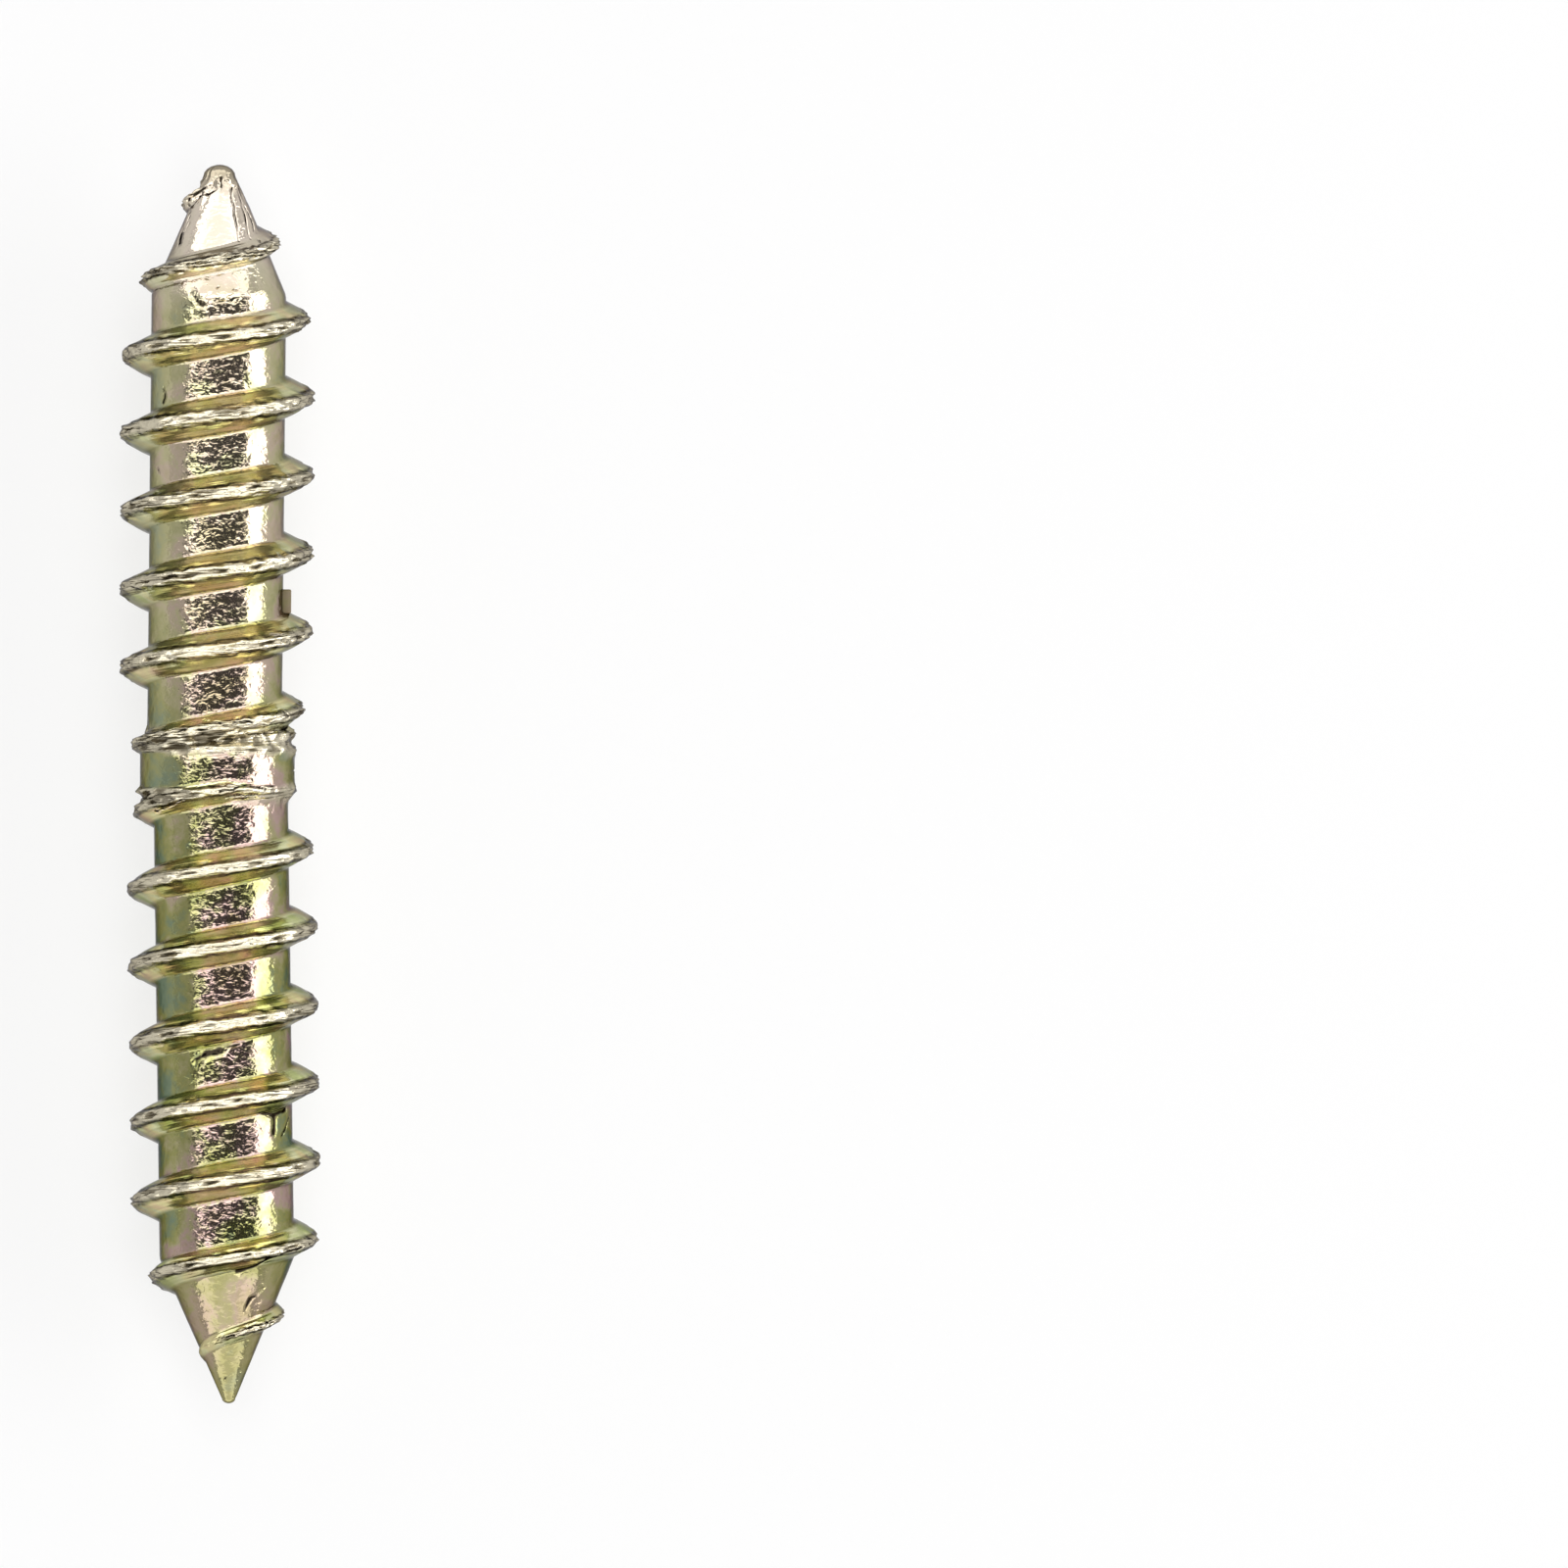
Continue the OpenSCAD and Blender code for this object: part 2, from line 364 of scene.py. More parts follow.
def draw_line(name, points):
    """A chain of edges through points, drawn by extruding one vertex."""
    bpy.ops.object.select_all(action="DESELECT")
    bpy.ops.mesh.primitive_plane_add(size=1)
    line = bpy.context.object
    line.name = name
    mode("EDIT")
    bpy.ops.mesh.merge(type="CENTER")
    bpy.ops.transform.translate(value=points[0])
    for a, b in zip(points, points[1:]):
        bpy.ops.mesh.extrude_vertices_move(TRANSFORM_OT_translate={"value": Vector(b) - Vector(a)})
    mode("OBJECT")
    return line


# %% [markdown]
# ## Carrying the section round
# Spin would turn the section by hand, a turn at a time. The Screw modifier turns it about Z and lifts it by
# one pitch in each turn, for all the turns at once. A positive angle with a positive lift is a right-hand
# thread. The first row of a turn meets the last row of the turn before, so the doubles are merged, and the
# result is one skin.

# %% Sweep the section into a threaded rod
TURN_STEPS = 150
SPARE_TURNS = 2
MERGE_MM = 0.004


def threaded_rod(name, h):
    """A rod with a full ridge along it, from below the collar's middle to beyond the point."""
    full_h = h["crest_r"] - CORE_R
    crest_z = -PITCH * (h["start"] / 360 + SPARE_TURNS)
    section = [(CORE_R + ridge_height(u, full_h), 0, crest_z + u) for u in ROWS]
    rod = draw_line(name, section)
    sweep = rod.modifiers.new("turns", "SCREW")
    sweep.axis = "Z"
    sweep.angle = math.tau
    sweep.screw_offset = PITCH
    sweep.iterations = math.ceil((h["length"] - crest_z) / PITCH) + 1
    sweep.steps = sweep.render_steps = TURN_STEPS
    only(rod)
    bpy.ops.object.modifier_apply(modifier=sweep.name)
    mode("EDIT")
    bpy.ops.mesh.select_all(action="SELECT")
    bpy.ops.mesh.remove_doubles(threshold=MERGE_MM)
    mode("OBJECT")
    return rod


blunt_rod = threaded_rod("blunt_half", BLUNT)
sharp_rod = threaded_rod("sharp_half", SHARP)
print("vertices:", len(blunt_rod.data.vertices), len(sharp_rod.data.vertices))

# %% [markdown]
# ## The forms of a half
# The dies are ground so that the ridge rises out of the collar, keeps its height along the rod, tapers on
# the point and ends short of the tip. By hand this would be a lattice or a taper. Here every vertex is moved
# along its own radius, by the rules that the drawing gives, and so the form is the CAD model's.

# %% Rules for the core, the ridge and the collar
TIP_ROUNDING = 0.35  # depth of the tip's rounding, as a share of its diameter
FADE_L = 0.3  # length over which the ridge sinks into the point at its end
EDGE_L = 0.5  # length over which it sinks into the collar
TAPER_POWER = 1.6
LIP_H, LIP_W = 0.05, 0.09  # the lip along the edge of the collar
SHOULDER_FROM, SHOULDER_L, SHOULDER_POWER = 0.02, 0.35, 1.5  # the slope down from it
SUNK = 0.1  # how far under the core the slope has come after the shoulder's length
# The shares of their widths that the crest and the flanks keep where the ridge has no height
LEAST_CREST, LEAST_FLANK = 0.15, 0.3


def clamp(x, low=0.0, high=1.0):
    """x, or the nearer end of the range where it is outside."""
    return max(low, min(high, x))


def smooth(x):
    """A soft step from 0 to 1 as x goes from 0 to 1."""
    x = clamp(x)
    return x * x * (3 - 2 * x)


def bell(x, width):
    """1 at x = 0, and soon nothing beyond the width."""
    return math.exp(-((x / width) ** 2))


def tip_start(h):
    """The height at which the point begins to round over."""
    return h["length"] - TIP_ROUNDING * 2 * h["tip_r"]


def rod_r(h, z):
    """The core's radius: a plain rod, and then a cone to the tip."""
    point_start = h["length"] - h["point_l"]
    t = (z - point_start) / (tip_start(h) - point_start)
    return CORE_R + (h["tip_r"] - CORE_R) * clamp(t, 0, 1.1)


def share(h, z):
    """The share of its full height that the ridge has where its middle is at z."""
    full_h = h["crest_r"] - CORE_R
    ridge_end = h["length"] - h["bare_l"]
    leave = h["leave_h"] / full_h
    rising = leave + (z / EDGE_L if z < 0 else (1 - leave) * z / h["rise_l"])
    t = max(0, z - ridge_end + h["taper_l"]) / h["taper_l"]
    crest = h["crest_r"] - (h["crest_r"] - rod_r(h, ridge_end) - h["end_h"]) * t**TAPER_POWER
    tapering = (crest - rod_r(h, z)) / full_h
    sinking = (ridge_end + FADE_L - z) / FADE_L
    return clamp(min(rising, tapering, sinking))


def collar_r(z):
    """The radius of the plain wire, and of the slope down from it to nothing under the core."""
    slope = clamp((z - SHOULDER_FROM) / SHOULDER_L, 0, 4)
    return COLLAR_R + LIP_H * bell(z, LIP_W) - (COLLAR_R - CORE_R + SUNK) * slope**SHOULDER_POWER


def narrowed(u, k):
    """A lower ridge is narrower: its flanks keep their angle, and the groove takes up what they give."""
    side = math.copysign(1, u)
    x = abs(u)
    crest = CREST_HALF * (LEAST_CREST + (1 - LEAST_CREST) * k)
    foot = crest + (FOOT - CREST_HALF) * (LEAST_FLANK + (1 - LEAST_FLANK) * k)
    if x < CREST_HALF:
        return u * crest / CREST_HALF
    if x < FOOT:
        return side * (crest + (x - CREST_HALF) * (foot - crest) / (FOOT - CREST_HALF))
    return side * (foot + (x - FOOT) * (GROOVE_HALF - foot) / (GROOVE_HALF - FOOT))


full_to = BLUNT["length"] - BLUNT["bare_l"] - BLUNT["taper_l"]
print("the blunt half's ridge begins to taper at", round(full_to, 2), "mm")

# %% [markdown]
# ## The rolled crest
# The dies squeeze the metal up from both sides, so each crest is two lips that don't quite meet, with a seam
# between them, and the lips are torn and folded over. It could be sculpted, or left to bump in the material,
# but it shows against the floor at both edges, so it is geometry. Noise that is stretched along the thread
# gives it, and each kind of fold has its own height, and its own length along the thread, in millimetres.

# %% The skin of the crest
# H is a height, L a length along the thread and W a width across it, all in mm.
TORN_HALF, TORN_FADE = 0.42, 0.16
SEAM_WANDER, SEAM_WANDER_L = 0.09, 0.9
SEAM_DEPTH, SEAM_L, SEAM_W = 0.08, 0.8, 0.05
LIP_AT, TORN_LIP_L, TORN_LIP_W = 0.13, 0.5, 0.09
FOLD_H, FOLD_L, FOLD_W, FOLD_SLANT = 0.08, 0.6, 0.12, 0.16
WRINKLE_H, WRINKLE_L, WRINKLE_W = 0.045, 0.22, 0.1
WAVE_H, WAVE_L = 0.03, 1.6
TUG, TUG_L, TUG_W = 0.04, 0.3, 0.2
HOLLOW_W, HOLLOW_DEPTH = 0.04, 0.06


def rough(x, y, seed):
    """Smooth noise from about -1 to 1, whose bumps are one unit long."""
    return noise.noise(Vector((x, y, seed)))


def crest_skin(h, u, arc, k):
    """Height and sideways shift of the skin at arc mm along the thread, and how far it is in a hollow."""
    seed = h["seed"]
    on_crest = smooth((TORN_HALF - abs(u)) / TORN_FADE) * smooth(k * 1.8) * h["torn"]
    off_seam = u - SEAM_WANDER * rough(arc / SEAM_WANDER_L, 0, seed + 1)
    seam = SEAM_DEPTH * smooth(0.4 + 1.6 * rough(arc / SEAM_L, 0, seed + 2))
    lips = 0.0
    for side in (-1, 1):
        left_standing = 0.5 + 0.8 * rough(arc / TORN_LIP_L, side, seed + 3)
        lips += LIP_H * left_standing * bell(off_seam - side * LIP_AT, TORN_LIP_W)
    folds = FOLD_H * rough(arc / FOLD_L, (u + FOLD_SLANT * arc) / FOLD_W, seed + 5)
    folds += WRINKLE_H * rough(arc / WRINKLE_L, u / WRINKLE_W, seed + 7)
    wave = WAVE_H * rough(arc / WAVE_L, 0, seed + 4)
    height = wave + lips + folds - seam * bell(off_seam, SEAM_W)
    aside = TUG * rough(arc / TUG_L, u / TUG_W, seed + 6)
    # How far the skin is in a hollow; the finish paints shade there.
    hollow = smooth((seam * bell(off_seam, HOLLOW_W) - 0.5 * folds) / HOLLOW_DEPTH - 0.5)
    return height * on_crest, aside * on_crest, hollow * clamp(on_crest)


print("height of a crest above the core:", round(BLUNT["crest_r"] - CORE_R, 3), "mm")

# %% [markdown]
# ## Folds, burr and chips
# The ends of the dies pushed the wire up into folds along the edge of the collar, with a burr on one side,
# and the blunt tip was broken off and is chipped. These are places and not patterns, so each is noise that
# is let in only where the fault is. Sharp folds come from the absolute value of noise, which has a crease
# where it is 0.

# %% Folds beside the collar, the burr, and the chips at the tip
FOLDS_FROM = -0.15  # height at which the folds begin, where the edge of the collar is 0
FOLDS_FROM_SOFT, FOLDS_TO_SOFT = 0.12, 0.35  # lengths over which they come and go
CRUMPLE_H, CRUMPLE_ARC, CRUMPLE_L = 0.2, 0.75, 0.3
CREASE_TOP, CREASE_SLOPE = 0.75, 2.6
BURR_Z, BURR_L, BURR_REACH = 0.55, 0.28, 0.5
CHIP_H, CHIP_MM, CHIP_FADE = 0.16, 0.55, 0.6
CHIP_CORE_R = 0.5  # radius within which the chips get shallower, down to nothing in the middle
SPLINTER_MM = 0.22
SWELL_H, SWELL_MM = 0.007, 0.9


def folded_at(h, z):
    """How much the skin at z is folded: fully at the edge of the collar, and not at all beyond it."""
    return smooth((z - FOLDS_FROM) / FOLDS_FROM_SOFT) * smooth((h["crumple_l"] - z) / FOLDS_TO_SOFT)


def crumple(h, out, z):
    """Height of the folds along the edge of the collar, and how deep the gaps between them are."""
    x = out.x * COLLAR_R / CRUMPLE_ARC
    y = out.y * COLLAR_R / CRUMPLE_ARC
    fold = CREASE_TOP - CREASE_SLOPE * abs(rough(x, y, z / CRUMPLE_L + h["seed"]))
    strength = 0.7 + 0.6 * noise.noise(out * 1.5 + Vector((0, 0, h["seed"])))
    amount = strength * folded_at(h, z)
    # The depth of the gaps between the folds, where the finish paints shade.
    return CRUMPLE_H * clamp(fold, -0.4) * amount, smooth(-3 * fold) * amount


def burr(h, out, z):
    """Height of the burr that closes the gap between the collar and the ridge, on the side towards +X."""
    if out.x < 0:
        return 0.0
    torn = 0.85 + 0.5 * noise.noise(Vector((out.x, out.y * 4, z / 0.15 + h["seed"])))
    return h["burr_h"] * torn * bell(out.y, BURR_REACH) * bell(z - BURR_Z, BURR_L)


def worn_away(h, out, r, z):
    """Height of the chips at the tip, and of the slow swell of the whole core."""
    place = out * r + Vector((0, 0, z + h["seed"]))
    near_tip = smooth((z - h["length"] + h["chip_l"]) / CHIP_FADE)
    chips = -abs(noise.noise(place / CHIP_MM)) + 0.5 * noise.noise(place / SPLINTER_MM)
    return CHIP_H * chips * near_tip * clamp(r / CHIP_CORE_R) + SWELL_H * noise.noise(place / SWELL_MM)


print("folds reach", BLUNT["crumple_l"], "and", SHARP["crumple_l"], "mm from the collar")

# %% [markdown]
# ## Shaping both halves
# Each vertex of a rod knows its own turn and its distance from the middle of the ridge, and from these the
# rules give its new place. The finish will need to know them too, and can't work them out from a place in
# space, so they are kept on the mesh in attributes. "form" holds the share of the ridge's height, the folds
# beside the collar, and how far the skin is in a hollow. "unwound" is the place with the thread's turns
# taken out.

# %% Shape both halves
COLLAR_MEETS = 0.12
STANDING_SOFT = 0.15


def shape_half(rod, h):
    """Moves each vertex to its place, and notes for the finish where it is on the thread."""
    mesh = rod.data
    full_h = h["crest_r"] - CORE_R
    unwound = mesh.attributes.new("unwound", "FLOAT_VECTOR", "POINT")
    form = mesh.attributes.new("form", "FLOAT_VECTOR", "POINT")
    for v in mesh.vertices:
        angle = math.atan2(v.co.y, v.co.x)
        turn = (math.degrees(angle) - h["start"]) / 360
        turn += round(v.co.z / PITCH - turn)
        u = v.co.z - turn * PITCH
        k = share(h, turn * PITCH)
        lift, aside, hollow = crest_skin(h, u, turn * math.tau * h["crest_r"], k)
        z = turn * PITCH + narrowed(u, k) + aside
        profile = (math.hypot(v.co.x, v.co.y) - CORE_R) / full_h
        plain_r = rod_r(h, z) + profile * full_h * k
        r = soft_max(plain_r + lift, collar_r(z), COLLAR_MEETS)
        out = Vector((math.cos(angle), math.sin(angle), 0))
        raised, gap = crumple(h, out, z)
        r += raised + burr(h, out, z) + worn_away(h, out, r, z)
        v.co = out * r + Vector((0, 0, z))
        twist = angle - math.tau * z / PITCH
        unwound.data[v.index].vector = (math.cos(twist) * r, math.sin(twist) * r, z + h["seed"])
        standing = smooth((plain_r - collar_r(z)) / STANDING_SOFT + 0.3)
        ridge = clamp(profile) * smooth(k * 2.4) * standing
        # The third value, how far the skin is in a hollow or a gap, is where the finish paints shade.
        form.data[v.index].vector = (ridge, folded_at(h, z), max(hollow, gap))


shape_half(blunt_rod, BLUNT)
shape_half(sharp_rod, SHARP)
widest = max(math.hypot(v.co.x, v.co.y) for v in blunt_rod.data.vertices)
print("blunt half is", round(2 * widest, 2), "mm over its crest")

# %% [markdown]
# ## Cutting to length and closing the points
# Both rods are longer than their halves, so each is cut by a plane at the collar and by one where its point
# begins to round over. A cap could be one flat face, but both tips are rounded, so the open ring is extruded
# and shrunk a few times along an ellipse, and then merged to one vertex.

# %% Cut each rod and close its point
TIP_RINGS = 4
CLOSE_MM = 1e-4


def cut(rod, point, outwards):
    """Cuts a rod by the plane through a point, and throws away the side that lies outwards of it."""
    only(rod)
    mode("EDIT")
    bpy.ops.mesh.select_all(action="SELECT")
    bpy.ops.mesh.bisect(plane_co=point, plane_no=outwards, clear_outer=True)
    mode("OBJECT")


def select_where(obj, test):
    """Selects the vertices whose place passes a test, and enters edit mode."""
    only(obj)
    mode("EDIT")
    bpy.ops.mesh.select_mode(type="VERT")
    bpy.ops.mesh.select_all(action="DESELECT")
    mode("OBJECT")
    for v in obj.data.vertices:
        v.select = test(v.co)
    mode("EDIT")


def close_point(rod, h):
    """Rounds the open end of a rod over, ring by ring."""
    top = tip_start(h)
    depth = h["length"] - top
    select_where(rod, lambda co: co.z > top - CLOSE_MM)
    last_scale, last_z = 1.0, 0.0
    for i in range(1, TIP_RINGS + 1):
        a = math.radians(90 * i / (TIP_RINGS + 0.6))
        scale, z = math.cos(a), math.sin(a) * depth
        bpy.ops.mesh.extrude_region_move(TRANSFORM_OT_translate={"value": (0, 0, z - last_z)})
        shrink = scale / last_scale
        bpy.ops.transform.resize(value=(shrink, shrink, 1), center_override=(0, 0, 0))
        last_scale, last_z = scale, z
    bpy.ops.mesh.extrude_region_move(TRANSFORM_OT_translate={"value": (0, 0, depth - last_z)})
    bpy.ops.mesh.merge(type="CENTER")
    mode("OBJECT")


for rod, h in ((blunt_rod, BLUNT), (sharp_rod, SHARP)):
    cut(rod, (0, 0, tip_start(h)), (0, 0, 1))
    close_point(rod, h)
    print(rod.name, "ends at", round(max(v.co.z for v in rod.data.vertices), 2), "mm")

# %% [markdown]
# ## A flake of scale
# An oblong flake of scale was rolled onto the core of the blunt half, and stands out on its right side, about
# two turns from the collar. It could be drawn out of the rod's own faces, but they are stretched along the
# thread. So it is a cube with its edges bevelled, sunk a little into the rod, and joined to it before both
# are laid down. It is duller than the metal, and says so in the third value of "form", which the finish
# reads as dull, darker metal.

# %% Put the flake on the blunt half
FLAKE_L, FLAKE_W, FLAKE_H = 0.78, 0.5, 0.26
FLAKE_TURN = 2  # it follows the ridge's second pass of the right side
FLAKE_GAP = 0.94  # from the middle of the ridge there to its own
FLAKE_BEVEL = 0.05
FLAKE_DULL = 0.68
ROOT_DEPTH = 0.12  # how far it is sunk into the core

flake_z = PITCH * (FLAKE_TURN - BLUNT["start"] / 360) + FLAKE_GAP
bpy.ops.object.select_all(action="DESELECT")
bpy.ops.mesh.primitive_cube_add(size=1, location=(CORE_R + (FLAKE_H - ROOT_DEPTH) / 2, 0, flake_z))
flake = bpy.context.object
flake.name = "flake"
flake.scale = (FLAKE_H + ROOT_DEPTH, FLAKE_W, FLAKE_L)
bpy.ops.object.transform_apply(location=True, rotation=False, scale=True)
mode("EDIT")
bpy.ops.mesh.select_all(action="SELECT")
bpy.ops.mesh.bevel(offset=FLAKE_BEVEL, segments=2)
mode("OBJECT")
flake_form = flake.data.attributes.new("form", "FLOAT_VECTOR", "POINT")
flake_form.data.foreach_set("vector", (0.0, 0.0, FLAKE_DULL) * len(flake.data.vertices))
join(blunt_rod, flake)
print("flake at", round(flake_z, 2), "mm above the collar")

# %% [markdown]
# ## Laying the halves down
# The halves were rolled by two pairs of dies that didn't quite line up, so each leans a little and lies
# beside the collar's centre line. Near the collar the skin is drawn back onto that line, and then both are
# laid along Y with their lowest crests on the floor. Turning the finished screw would be simpler, but each
# half leans its own way, so each is placed by a matrix of its own and cut off square at the collar.

# %% Lay the halves down
# The CAD ridge has a facet every 10 degrees and lies on one. Its middle is at this share of the radius.
FACET = math.cos(math.radians(5))
BRIDGE_HALF = 0.03  # half the gap that is left between the halves
DRAWN_FROM = -0.05  # height below which the skin is drawn fully onto the collar's centre line


def rest_h(h):
    """The height of a half's centre line over the floor that its crest lies on."""
    return h["crest_r"] * FACET


def lay(rod, h):
    """Lays a half along Y, with its lean, and cuts it off inside the collar."""
    drop = rest_h(BLUNT) - rest_h(h)
    for v in rod.data.vertices:
        near = 1 - smooth((v.co.z - DRAWN_FROM) / SHOULDER_L)
        v.co += Vector((DIE_SHIFT, -drop, 0)) * near
    side = h["side"]
    end_for_end = Matrix.Rotation(math.pi, 4, "Y") if side < 0 else Matrix.Identity(4)
    flat = Matrix.Rotation(math.radians(-90), 4, "X") @ end_for_end
    lean = Matrix.Rotation(math.radians(h["lean"]), 4, "Z") @ Matrix.Translation((0, side * COLLAR_L / 2, 0))
    place = Matrix.Translation((COLLAR_X - side * DIE_SHIFT, COLLAR_SHIFT, rest_h(h)))
    rod.matrix_world = place @ lean @ flat
    only(rod)
    bpy.ops.object.transform_apply(location=True, rotation=True, scale=True)
    cut(rod, (0, COLLAR_SHIFT + side * BRIDGE_HALF, 0), (0, -side, 0))


lay(blunt_rod, BLUNT)
lay(sharp_rod, SHARP)
print("centre lines are", round(rest_h(BLUNT), 2), "and", round(rest_h(SHARP), 2), "mm up")

# %% [markdown]
# ## Joining them at the collar
# The real screw is one piece, so the halves become one closed skin. A boolean union could join two solids,
# but would disturb the rows. The two open rings in the middle of the collar have as many points each, so
# bridging them with faces is enough. Where a torn crest would reach through the floor it is pressed flat, so
# that the screw lies on the floor and not in it.

# %% Join the halves
join(blunt_rod, sharp_rod)
screw = blunt_rod
screw.name = "screw"
screw.data.name = "screw"
mode("EDIT")
bpy.ops.mesh.select_all(action="DESELECT")
bpy.ops.mesh.select_mode(type="EDGE")
bpy.ops.mesh.select_non_manifold(extend=False)
bpy.ops.mesh.bridge_edge_loops()
bpy.ops.mesh.select_all(action="SELECT")
bpy.ops.mesh.normals_make_consistent(inside=False)
mode("OBJECT")
for v in screw.data.vertices:
    v.co.z = max(v.co.z, 0)


def report_mesh(obj):
    """Prints how many triangles a mesh has, and how many of its edges aren't shared by two faces."""
    bm = bmesh.new()
    bm.from_mesh(obj.data)
    triangles = sum(len(f.verts) - 2 for f in bm.faces)
    open_edges = sum(len(e.link_faces) != 2 for e in bm.edges)
    volume = round(bm.calc_volume(), 1)
    print(obj.name, "has", triangles, "triangles,", open_edges, "open edges, volume", volume)
    bm.free()


report_mesh(screw)

# %% [markdown]
# ## Cracks and laps, and painted shade
# Where the dies folded the metal over itself, it closed into a dark line: under the last turn of each ridge,
# across both points, beside the collar and in some grooves. Two of the marks are painted shade instead: the
# black gap between the burr and the collar, and a shadow patch in a groove of the sharp half. A painted mask
# could hold them. Here each is a stroke through a few given places, seen from above, in mm. They are laid
# onto the skin by looking straight down at it, and every vertex keeps its distance to the nearest in an
# attribute, by which the finish darkens and sinks them. The shader could work that out itself, but with this
# many strokes it would need hundreds of nodes.

# %% The strokes
# Each is half its width, and the places that it runs through.
STROKES = [
    # Under the last turn of the sharp half, and on its point
    (0.085, [(0.5, -15.72), (1.05, -15.58), (1.55, -15.31)]),
    (0.045, [(1.55, -15.31), (2.2, -15.08), (2.6, -14.97)]),
    (0.045, [(1.38, -16.32), (0.94, -16.6), (0.72, -17.02)]),
    (0.05, [(0.9, -17.55), (1.5, -17.39)]),
    (0.03, [(0.0, -17.9), (0.4, -17.82)]),
    (0.025, [(0.06, -19.23), (0.38, -19.16)]),
    # On the broken point of the blunt half
    (0.07, [(-1.7, 17.1), (-1.35, 17.43), (-1.27, 17.8)]),
    (0.045, [(-1.05, 18.85), (-0.82, 19.05), (-0.55, 19.24)]),
    (0.03, [(-0.7, 18.97), (-0.32, 19.08), (-0.02, 19.2), (0.0, 19.6)]),
    (0.07, [(0.32, 19.22), (0.5, 19.18), (0.7, 19.1)]),
    (0.04, [(-1.04, 18.68), (-1.04, 18.0)]),
    (0.03, [(0.35, 18.9), (0.48, 18.2), (0.6, 17.5)]),
    (0.025, [(0.6, 18.9), (0.8, 18.2), (0.95, 17.6)]),
    (0.03, [(0.8, 18.6), (1.05, 18.0), (1.25, 17.5)]),
    # Under its last turn, and in its last groove
    (0.03, [(-1.1, 16.79), (-0.4, 16.85), (0.35, 16.95), (1.2, 17.12)]),
    (0.07, [(-0.95, 15.85), (-0.75, 15.62), (-0.55, 15.45)]),
    (0.03, [(-0.5, 16.07), (0.1, 16.0), (0.66, 15.91)]),
    (0.03, [(-0.4, 15.6), (0.2, 15.55), (0.7, 15.65)]),
    # Beside the collar
    # The next stroke is painted shade: the black gap between the burr and the collar.
    (0.09, [(1.7, 1.72), (2.1, 1.8)]),
    (0.05, [(1.9, 2.4), (2.2, 2.2)]),
    (0.04, [(-2.1, -0.9), (-1.7, -0.72), (-1.28, -0.5)]),
    (0.03, [(0.15, -0.43), (0.9, -0.37), (1.7, -0.3)]),
    (0.035, [(-0.6, 2.05), (0.1, 1.93), (0.8, 2.04), (1.4, 1.9)]),
    (0.04, [(-0.7, 1.75), (0.0, 1.6), (0.6, 1.72), (1.2, 1.55)]),
    (0.035, [(-1.9, 1.6), (-1.2, 1.75), (-0.6, 1.6)]),
    (0.03, [(-1.6, -0.3), (-0.8, -0.1), (0.0, -0.25), (0.8, -0.05), (1.5, -0.15)]),
    # Pits along the left edge of the blunt half
    (0.03, [(-2.02, 18.0), (-2.08, 16.8)]),
    (0.035, [(-2.08, 10.2), (-2.1, 9.4)]),
    (0.04, [(-1.86, 12.78), (-1.8, 12.55), (-1.88, 12.3)]),
    # Laps in a groove of the sharp half, and a painted shadow patch in another
    (0.06, [(1.25, -10.62), (1.69, -10.7), (2.08, -10.5), (2.48, -10.34)]),
    (0.06, [(1.69, -10.7), (1.74, -11.0), (1.68, -11.3)]),
    (0.03, [(2.2, -10.75), (2.08, -11.1), (1.94, -11.4)]),
    # The next two strokes are a painted shadow patch.
    (0.09, [(-0.85, -8.9), (-0.4, -8.7), (0.0, -8.6)]),
    (0.04, [(0.2, -8.5), (0.6, -8.4)]),
]
print(len(STROKES), "strokes")

# %% [markdown]
# ## Laying the strokes on
# A straight stroke with an even width looks drawn. So noise moves each place a little before its distance
# is taken, which makes the line wander, and other noise narrows and widens it, which breaks it up. The noise
# that moves places is random in each session, so it gets a seed, and every run lays the same strokes.

# %% Lay the strokes onto the skin
ABOVE = 10  # a height from which to look down, over all of the screw
FAR = 9.0  # the most half-widths that are told apart
STROKE_WANDER_MM, STROKE_BEND_MM = 0.05, 0.25
STROKE_BREAK_MM = 0.3
STROKE_SEED = 1

# noise_vector reads from an offset that Blender draws anew in each session, unless a seed is set.
noise.seed_set(STROKE_SEED)


def on_skin(x, y):
    """The place on the skin that is seen from above at x and y, if there is one."""
    hit, place, _, _ = screw.ray_cast((x, y, ABOVE), (0, 0, -1))
    return place if hit else None


cracks_and_shade = []
for half_width, places in STROKES:
    laid = [on_skin(x, y) for x, y in places]
    cracks_and_shade += [(half_width, a, b) for a, b in zip(laid, laid[1:]) if a and b]


def widths_to_crack_or_shade(place):
    """Distance to the nearest crack or stroke of painted shade, counted in its half-width."""
    breaks = 0.95 + 0.6 * noise.noise(place / STROKE_BREAK_MM)
    place = place + noise.noise_vector(place / STROKE_BEND_MM) * STROKE_WANDER_MM
    nearest = FAR
    for half_width, a, b in cracks_and_shade:
        foot, along = intersect_point_line(place, a, b)
        if along < 0:
            foot = a
        elif along > 1:
            foot = b
        nearest = min(nearest, (place - foot).length / (half_width * breaks))
    return nearest


crack_or_shade_attribute = screw.data.attributes.new("crack", "FLOAT", "POINT")
crack_or_shade_attribute.data.foreach_set("value", [widths_to_crack_or_shade(v.co) for v in screw.data.vertices])
print(len(cracks_and_shade), "pieces of crack on the skin")

# %% [markdown]
# ## Yellow zinc
# Zinc plate with a yellow passivate is bright metal under a film that is too thin to see but thick enough to
# play with light: pale gold, with patches that turn green or pink. It could be Blender's thin film, but that
# needs a thickness at every place, and the colours are known better than the thickness. So it is a metal
# whose colour comes from noise, with its sizes in millimetres, and from the attributes that the mesh
# carries.

